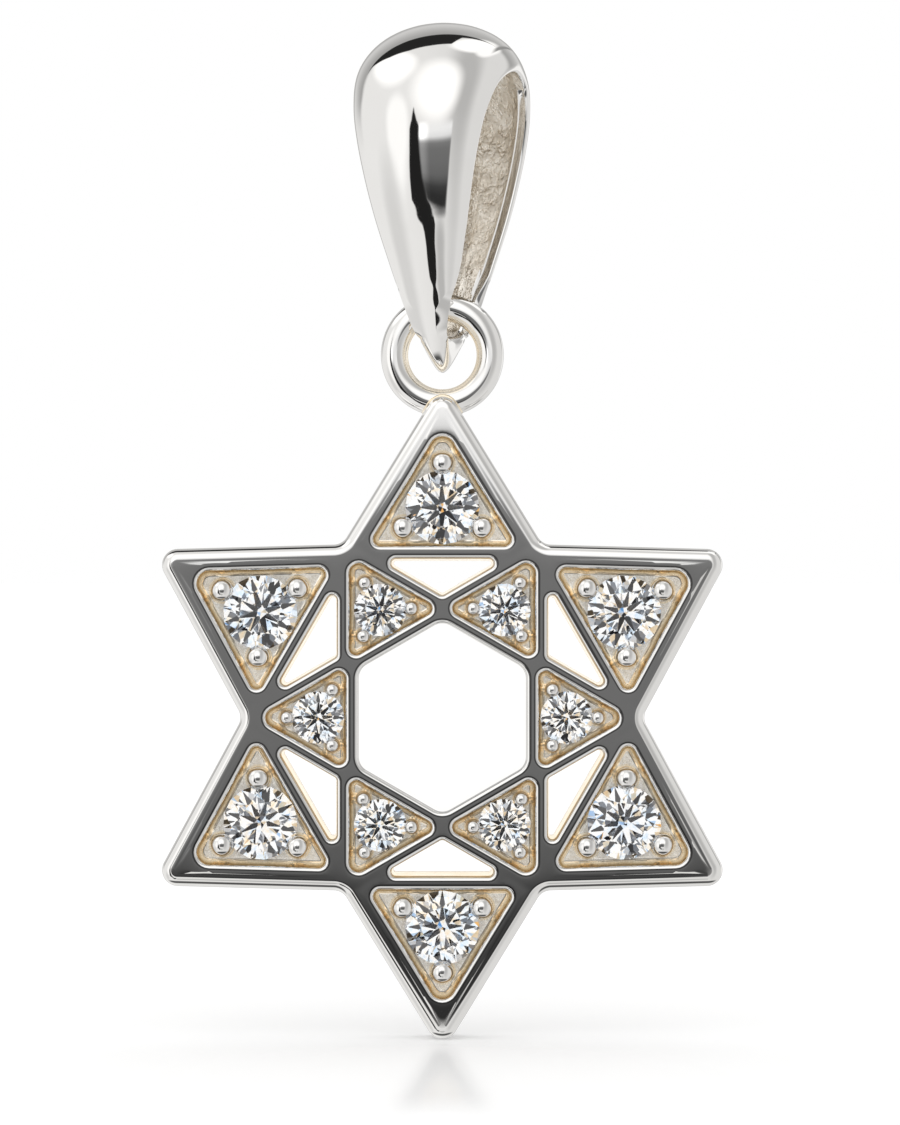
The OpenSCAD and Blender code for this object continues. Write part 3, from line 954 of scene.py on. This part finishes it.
def bail_section(half, dome, hollow, high):
    """One cross section of the bail as (across, out): dome, rim, hollow inside, rim."""
    inner = max(half - BAIL_WALL, half * LEAST_INNER)
    seat = min(max((SOFT_Z - high) / SOFT_OVER, 0.0), 1.0)
    wall_share = (RIM_SHARE + RIM_SHARE_MORE * seat) * (half - inner)
    soft = min(RIM_ROUND + RIM_ROUND_MORE * seat, wall_share, DOME_SHARE * dome)
    soft_in = max(LEAST_ROUND, min(soft, HOLLOW_SHARE * hollow))
    start = math.asin(min(FIRST_SINE, soft / dome))
    begin = math.asin(min(FIRST_SINE, soft_in / hollow)) if hollow > LEAST_HOLLOW else LEAST_HOLLOW
    turn_out = [(half - soft + soft * cos(t), soft - soft * sin(t)) for t in RIM_TURN]
    turn_in = [(inner + soft_in - soft_in * cos(t), soft_in - soft_in * sin(t)) for t in RIM_TURN]
    over = np.linspace(start, math.pi - start, OUTER_POINTS)
    under = np.linspace(math.pi - begin, begin, INNER_POINTS)
    flat = [(half * math.cos(a), dome * math.sin(a)) for a in over]
    flat += [(-x, y) for x, y in turn_out + turn_in[::-1]]
    flat += [(inner * math.cos(a), hollow * math.sin(a)) for a in under]
    return flat + turn_in + turn_out[::-1]


def cast_relief(middle, heights):
    """The points of the bail's inside with rough relief, fading out at the rims and at the seat."""
    order = np.arange(INNER_POINTS)
    fade = np.clip(np.minimum(order, order[::-1]) / FADE_POINTS, 0, 1)[None, :, None]
    depth = np.clip((heights - FADE_Z) / FADE_OVER, 0, 1)[:, None, None]
    normal = np.cross(np.roll(middle, -1, 0) - np.roll(middle, 1, 0), np.gradient(middle, axis=1))
    normal /= np.maximum(np.linalg.norm(normal, axis=2, keepdims=True), 1e-9)

    def relief(p):
        return sum(h * noise.noise(tuple(p / size)) for h, size in (COARSE, FINE))

    rough = np.array([[relief(p) for p in row] for row in middle])[..., None]
    ridge = RIDGE_H * np.exp(-((order - 0.5 * INNER_POINTS) ** 2))[None, :, None]
    return middle + normal * (rough + ridge) * fade * depth


def bail_piece(materials):
    """The domed bail, lofted round its loop, with a rough cast inside."""
    rows = loop_rows()
    n = len(rows)
    fine = np.array(
        [
            smooth(rows[i - 1], rows[i], rows[(i + 1) % n], rows[(i + 2) % n], k / BAIL_STEPS)
            for i in range(n)
            for k in range(BAIL_STEPS)
        ]
    )
    m = len(fine)
    sections = []
    for i in range(m):
        along = fine[(i + 1) % m] - fine[i - 1]
        out = unit(np.array([along[1], -along[0]]))
        rim, high, half, dome, hollow = fine[i]
        flat = bail_section(half, dome, hollow, high)
        sections.append([(x, rim + out[0] * o, high + out[1] * o) for x, o in flat])
    sections = np.array(sections)
    count = sections.shape[1]
    mesh = Mesh()
    mesh.strips(sections, POLISH, closed=True)
    first_in = OUTER_POINTS + 2 * len(RIM_TURN)
    last_in = first_in + INNER_POINTS - 1
    for k in range(len(mesh.faces)):
        if first_in <= k % count < last_in:
            mesh.slots[k] = CAST
    points = np.array(mesh.points).reshape(m, count, 3)
    points[:, first_in:last_in + 1] = cast_relief(points[:, first_in:last_in + 1].copy(), fine[:, 1])
    mesh.points = [tuple(p) for p in points.reshape(-1, 3)]
    c, s = cos(-BAIL_TURN), sin(-BAIL_TURN)

    def place(p):
        return np.column_stack([p[:, 0] * c - p[:, 1] * s, p[:, 0] * s + p[:, 1] * c, p[:, 2]])

    return mesh.build("bail_shell", place, materials, sharp=50)


# The studio

# Its directions are mapped flat, in degrees to the side and up from straight in front, which is -Y. A
# pair of numbers says where a fade begins and ends: on that map, or for a height from -1 to 1.
# Black flag in front on the left, a wedge that bends in below: its edges as (up, side)
WEDGE_LEFT = [
    (-50, -20),
    (-46, -21.5),
    (-43, -24),
    (-40, -26.5),
    (-37, -28),
    (-35, -30),
    (-33.4, -36),
    (-31.5, -41.5),
    (-23, -41.5),
    (-14, -40),
    (-1, -39.3),
    (4, -37),
    (10.7, -35.8),
    (16, -34.8),
    (20, -34),
]
WEDGE_RIGHT = [
    (-50, -17),
    (-46, -15.7),
    (-41, -12.5),
    (-37, -10.5),
    (-34.8, -9.5),
    (-33, -11),
    (-32.3, -15),
    (-31, -20),
    (-26, -22.6),
    (-20, -24.5),
    (-5, -26),
    (-1.3, -27.6),
    (3.5, -31),
    (10.6, -33.4),
    (20, -35),
]
WEDGE_SOFT = 0.8
WEDGE_TOP = (14.0, 18.0)
WEDGE_FOOT = (-48.0, -46.0)
WEDGE_TONE = 0.016
# Black flag over the object, a crescent: its near edge as (turn, off), in degrees round -Y and off it
CRESCENT = [
    (0, 124),
    (40, 121),
    (62, 117.5),
    (80, 113),
    (86, 98),
    (100, 96),
    (115, 97),
    (128, 104),
    (140, 116),
    (180, 130),
]
FLAG_SOFT = 1.0
FLAG_END = (117.5, 120.0)
FLAG_HEIGHT = (0.05, 0.3)
FLAG_TONE = 0.02
# Tone behind the object by the degrees off -Y, and where it begins, also by height
BEHIND = [(90, 0.66), (119, 0.36), (140, 0.60), (155, 0.72), (180, 0.62)]
BEHIND_FROM = (112, 122)
BEHIND_HEIGHT = (-0.1, 0.3)
# Darker ring and light disc straight behind the object
RING_FROM = (145, 156)
RING_TONE = 0.45
DISC_FROM = (160, 164)
DISC_TONE = 1.05
# Grey edge of the backdrop, high on the right: a sloping band, its two sides as (up, from, to), its ends
EDGE_SLOPE = 0.9
EDGE_LOW = (18.0, -6.0, 0.0)
EDGE_HIGH = (26.0, -3.0, 6.0)
EDGE_ENDS = ((66.0, 76.0), (96.0, 120.0))
EDGE_TONE = 0.30
# Tone of the rest, which falls from left to right
BASE_TONE = 0.86
BASE_FALL = -0.12
BASE_RUN = (-60, 40)
# Soft spots as (middle, half size, softness, tone); later ones lie over earlier ones
LIGHTS = [
    ((34, 40), (24, 70), 0.6, 0.50),
    ((-6, 34), (30, 32), 0.35, 1.15),
    ((-54, 2), (13, 30), 0.30, 1.08),
    ((-60, 66), (27, 23), 0.22, 1.15),
    ((40, 96), (34, 14), 0.25, 1.15),
    ((62, 84), (20, 12), 0.30, 1.10),
    ((136, 5), (11, 60), 0.30, 0.95),
]
TABLE_EDGE = [((0, -84), (70, 15), 0.3, 0.09)]
LOW_LIGHTS = [
    ((-72, -45), (15, 28), 0.6, 0.70),
    ((0, -43), (11, 10), 0.5, 0.50),
]
# What the stones gather: many small panels, light and dark, a few of them coloured
PANEL_SCALE = 4.2
PANEL_STRENGTH = 1.25
PANELS = [
    (0.0, (0.01, 0.01, 0.012)),
    (0.18, (0.16, 0.17, 0.19)),
    (0.30, (1.0, 1.0, 1.0)),
    (0.60, (0.55, 0.56, 0.58)),
    (0.70, (0.12, 0.34, 0.72)),
    (0.74, (0.45, 0.62, 0.85)),
    (0.78, (1.0, 1.0, 1.0)),
    (0.92, (0.85, 0.48, 0.16)),
    (0.96, (0.75, 0.62, 0.45)),
]
WHITE = (1.0, 1.0, 1.0, 1.0)
# The studio's light is a little warm: its green and blue against its red
GREEN_SHARE = 0.992
BLUE_SHARE = 0.978


def studio_world():
    """White studio with soft lights, and black flags beside and over the object for its reflections."""
    world = bpy.data.worlds.new("studio")
    bpy.context.scene.world = world
    world.use_nodes = True
    t = world.node_tree
    t.nodes.clear()
    where = t.nodes.new("ShaderNodeTexCoord").outputs["Generated"]
    x, y, z = node(t, "ShaderNodeSeparateXYZ", Vector=where).outputs
    op = maths(t)

    def step(v, low, high):
        return eased(t, v, low, high)

    def less(v):
        return op("SUBTRACT", 1.0, v)

    def angle(v):
        return op("MULTIPLY", v, 180 / math.pi)

    off = angle(op("ARCCOSINE", op("MULTIPLY", y, -1.0)))
    around = angle(op("ARCTAN2", z, x))
    aside = op("MAXIMUM", op("SQRT", op("MULTIPLY_ADD", z, z, op("MULTIPLY", x, x))), 0.001)
    flat_x = op("MULTIPLY", off, op("DIVIDE", x, aside))
    flat_y = op("MULTIPLY", off, op("DIVIDE", z, aside))

    def spot(at, size, soft):
        """1 in an ellipse of the flat map of directions, fading out over its edge."""
        u = op("DIVIDE", op("SUBTRACT", flat_x, at[0]), size[0])
        v = op("DIVIDE", op("SUBTRACT", flat_y, at[1]), size[1])
        r = op("SQRT", op("MULTIPLY_ADD", u, u, op("MULTIPLY", v, v)))
        return less(step(r, 1.0 - soft, 1.0 + soft))

    def curve(v, points):
        """Straight pieces through the points (v, value)."""
        n = t.nodes.new("ShaderNodeFloatCurve")
        low, high = points[0][0], points[-1][0]
        top = max(abs(p[1]) for p in points)
        c = n.mapping.curves[0]
        while len(c.points) < len(points):
            c.points.new(0.5, 0.5)
        for p, (at, to) in zip(c.points, points):
            p.location = ((at - low) / (high - low), 0.5 + 0.5 * to / top)
            p.handle_type = "VECTOR"
        n.mapping.update()
        share = node(t, "ShaderNodeMapRange", Value=v, From_Min=low, From_Max=high).outputs[0]
        t.links.new(share, n.inputs["Value"])
        return op("MULTIPLY", op("SUBTRACT", n.outputs[0], 0.5), 2 * top)

    def past(v, edge, soft):
        """1 where v is past the edge, soft degrees to either side of it."""
        return step(op("SUBTRACT", v, edge), -soft, soft)

    def band(side):
        """0 to 1 over one side of the backdrop's edge."""
        at, low, high = side
        return step(op("SUBTRACT", flat_y, op("MULTIPLY_ADD", flat_x, EDGE_SLOPE, at)), low, high)

    def spots(rows):
        return [(spot(at, size, soft), tone) for at, size, soft, tone in rows]

    flag = op("MULTIPLY", past(off, curve(around, CRESCENT), FLAG_SOFT), less(step(off, *FLAG_END)))
    flag = op("MULTIPLY", flag, step(z, *FLAG_HEIGHT))
    wedge = past(flat_x, curve(flat_y, WEDGE_LEFT), WEDGE_SOFT)
    wedge = op("MULTIPLY", wedge, less(past(flat_x, curve(flat_y, WEDGE_RIGHT), WEDGE_SOFT)))
    wedge = op("MULTIPLY", wedge, less(step(flat_y, *WEDGE_TOP)))
    wedge = op("MULTIPLY", wedge, step(flat_y, *WEDGE_FOOT))
    ends = op("MULTIPLY", step(flat_x, *EDGE_ENDS[0]), less(step(flat_x, *EDGE_ENDS[1])))
    edge = op("MULTIPLY", op("MULTIPLY", band(EDGE_LOW), less(band(EDGE_HIGH))), ends)
    behind = op("MULTIPLY", step(off, *BEHIND_FROM), step(z, *BEHIND_HEIGHT))
    ring = op("MULTIPLY", step(off, *RING_FROM), less(step(off, *DISC_FROM)))
    value = op("MULTIPLY_ADD", step(flat_x, *BASE_RUN), BASE_FALL, BASE_TONE)
    # Masks and their tones, laid over each other in turn
    layers = [(behind, curve(off, BEHIND))] + spots(LIGHTS) + [(edge, EDGE_TONE)]
    layers += spots(TABLE_EDGE) + [(flag, FLAG_TONE)] + spots(LOW_LIGHTS) + [(wedge, WEDGE_TONE)]
    layers += [(ring, RING_TONE), (step(off, *DISC_FROM), DISC_TONE)]
    for mask, tone in layers:
        value = op("MULTIPLY_ADD", mask, op("SUBTRACT", tone, value), value)
    panels = node(t, "ShaderNodeTexVoronoi", Vector=where, Scale=PANEL_SCALE)
    pick = node(t, "ShaderNodeSeparateColor", Color=panels.outputs["Color"]).outputs[0]
    fire = ramp(t, pick, PANELS)
    fire.node.color_ramp.interpolation = "CONSTANT"
    green, blue = op("MULTIPLY", value, GREEN_SHARE), op("MULTIPLY", value, BLUE_SHARE)
    tone = node(t, "ShaderNodeCombineColor", i0=value, i1=green, i2=blue)
    lit = node(t, "ShaderNodeBackground", Color=tone.outputs[0], Strength=1.0)
    plain = node(t, "ShaderNodeBackground", Color=WHITE, Strength=1.0)
    gathered = node(t, "ShaderNodeBackground", Color=fire, Strength=PANEL_STRENGTH)
    path = t.nodes.new("ShaderNodeLightPath").outputs
    through = path["Is Transmission Ray"]
    mix = node(t, "ShaderNodeMixShader", i0=through, i1=lit.outputs[0], i2=gathered.outputs[0])
    even = op("MAXIMUM", path["Is Camera Ray"], path["Is Diffuse Ray"])
    mix = node(t, "ShaderNodeMixShader", i0=even, i1=mix.outputs[0], i2=plain.outputs[0])
    node(t, "ShaderNodeOutputWorld", i0=mix.outputs[0])


def stage_piece(name, corners):
    """A four cornered piece of the studio, in metres, with an empty material."""
    mesh = bpy.data.meshes.new(name)
    mesh.from_pydata(corners, [], [(0, 1, 2, 3)])
    obj = bpy.data.objects.new(name, mesh)
    bpy.context.scene.collection.objects.link(obj)
    m = bpy.data.materials.new(name)
    m.use_nodes = True
    m.node_tree.nodes.clear()
    mesh.materials.append(m)
    return obj, m.node_tree


# Grey card in front of the pendant, in millimetres
CARD_Y = -60.0
CARD_X = (-33.0, 23.0)
CARD_Z = (-50.0, 3.0)
# Its tones by height, and how much brighter it gets towards its left end
CARD_TONES = [
    (3, 1.0),
    (-5, 0.90),
    (-8, 0.78),
    (-9.5, 0.55),
    (-10.8, 0.32),
    (-12.5, 0.20),
    (-16, 0.165),
    (-23, 0.155),
    (-27, 0.135),
    (-30, 0.095),
    (-33, 0.05),
    (-37, 0.03),
    (-50, 0.02),
]
CARD_LEFT = (-27.0, -14.0)
CARD_LEFT_GAIN = 1.8
# Its cover is a bowl that hangs from BOWL_Z, with a soft outline, top and foot
BOWL_X = -5.5
BOWL_HALF = 25.5
BOWL_Z = -3.0
BOWL_DEEP = 46.0
BOWL_FADE = (1.3, 0.75)
CARD_TOP_FADE = (2.0, -6.0)
CARD_FOOT_FADE = (-43.0, -39.5)


def grey_card():
    """Card in front of the pendant, seen only in its reflections: light at its top, dark at its foot."""
    (left, right), (low, high) = CARD_X, CARD_Z
    ends = [(left, low), (right, low), (right, high), (left, high)]
    obj, t = stage_piece("grey_card", [(a * MM, CARD_Y * MM, b * MM) for a, b in ends])
    op = maths(t)
    where = t.nodes.new("ShaderNodeTexCoord").outputs["Object"]
    x, _, z = node(t, "ShaderNodeSeparateXYZ", Vector=where).outputs
    x = op("MULTIPLY", x, 1 / MM)
    z = op("MULTIPLY", z, 1 / MM)
    down = node(t, "ShaderNodeMapRange", Value=z, From_Min=high, From_Max=low).outputs[0]
    tone = ramp(t, down, [((high - h) / (high - low), (v, v, v)) for h, v in CARD_TONES])
    gain = eased(t, x, *CARD_LEFT, (CARD_LEFT_GAIN, 1.0))
    glow = node(t, "ShaderNodeEmission", Color=tone, Strength=gain)
    u = op("DIVIDE", op("SUBTRACT", x, BOWL_X), BOWL_HALF)
    v = op("DIVIDE", op("MINIMUM", op("SUBTRACT", z, BOWL_Z), 0.0), BOWL_DEEP)
    round_in = op("ADD", op("POWER", op("ABSOLUTE", u), 3.0), op("POWER", op("ABSOLUTE", v), 3.0))
    fades = op("MULTIPLY", eased(t, z, *CARD_TOP_FADE), eased(t, z, *CARD_FOOT_FADE))
    cover = op("MULTIPLY", eased(t, round_in, *BOWL_FADE), fades)
    clear = t.nodes.new("ShaderNodeBsdfTransparent")
    mix = node(t, "ShaderNodeMixShader", i0=cover, i1=clear.outputs[0], i2=glow.outputs[0])
    node(t, "ShaderNodeOutputMaterial", i0=mix.outputs[0])
    obj.visible_camera = False
    obj.visible_diffuse = False
    obj.visible_transmission = False
    obj.visible_shadow = False


# Table top, in metres. Its polish is a round patch that fades out between two distances from its middle
TABLE_HALF = 3.0
TABLE_GAP = 0.00001
POLISH_Y = -0.0105
POLISH_FADE = (0.004, 0.0115)
POLISH_SHARE = 0.24
TABLE_ROUGH = 0.12
TABLE_GLOW = 0.10


def studio_floor():
    """Pale table top that takes a soft contact shadow and a faint reflection."""
    z = FLOOR_Z * MM - TABLE_GAP
    corners = [(a * TABLE_HALF, b * TABLE_HALF, z) for a, b in ((-1, -1), (1, -1), (1, 1), (-1, 1))]
    obj, t = stage_piece("table_top", corners)
    matt = node(t, "ShaderNodeBsdfDiffuse", Color=(0.98, 0.98, 0.98, 1.0))
    glow = node(t, "ShaderNodeEmission", Color=WHITE, Strength=TABLE_GLOW)
    both = node(t, "ShaderNodeAddShader", i0=matt.outputs[0], i1=glow.outputs[0])
    gloss = node(t, "ShaderNodeBsdfGlossy", Color=WHITE, Roughness=TABLE_ROUGH)
    where = t.nodes.new("ShaderNodeTexCoord").outputs["Object"]
    patch = node(t, "ShaderNodeVectorMath", i0=where, i1=(0.0, -POLISH_Y, -z))
    far = node(t, "ShaderNodeVectorMath", i0=patch.outputs[0])
    far.operation = "LENGTH"
    share = eased(t, far.outputs["Value"], *POLISH_FADE, (POLISH_SHARE, 0.0))
    mix = node(t, "ShaderNodeMixShader", i0=share, i1=both.outputs[0], i2=gloss.outputs[0])
    node(t, "ShaderNodeOutputMaterial", i0=mix.outputs[0])
    obj.visible_glossy = False
    obj.visible_transmission = False


def camera():
    data = bpy.data.cameras.new("camera")
    data.sensor_fit = "VERTICAL"
    data.sensor_height = SENSOR
    data.lens = SENSOR * FACE_DISTANCE * PIXELS_PER_MM / PHOTO_H
    data.clip_start = 0.01
    data.clip_end = 20.0
    obj = bpy.data.objects.new("camera", data)
    obj.location = [c * MM for c in CAMERA_AT]
    obj.rotation_euler = (math.radians(90), 0, 0)
    bpy.context.scene.collection.objects.link(obj)
    bpy.context.scene.camera = obj


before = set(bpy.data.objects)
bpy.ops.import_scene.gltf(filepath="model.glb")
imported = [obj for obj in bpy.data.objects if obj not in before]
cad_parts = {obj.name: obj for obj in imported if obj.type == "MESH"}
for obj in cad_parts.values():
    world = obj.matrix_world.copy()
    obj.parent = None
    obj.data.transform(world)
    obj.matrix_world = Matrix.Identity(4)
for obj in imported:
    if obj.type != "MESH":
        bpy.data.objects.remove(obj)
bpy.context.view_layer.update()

camera()
studio_world()
studio_floor()
grey_card()
bpy.context.scene.view_settings.view_transform = "Standard"

polished = silver()
walls = cell_silver()
floors = floor_silver()
cast = cast_silver()
clear = stone_glass()

plate = star_plate([polished, walls, floors])
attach(plate, "drop")
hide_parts("star_frame")

claws = prongs([polished, walls])
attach(claws, "drop")
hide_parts("star_frame")

loop = ring_piece([polished, walls])
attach(loop, "drop")
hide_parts("star_frame")

shell = bail_piece([polished, cast])
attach(shell, "bail")
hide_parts("bail")

for name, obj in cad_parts.items():
    if "stone" in name:
        obj.data.materials.clear()
        obj.data.materials.append(clear)
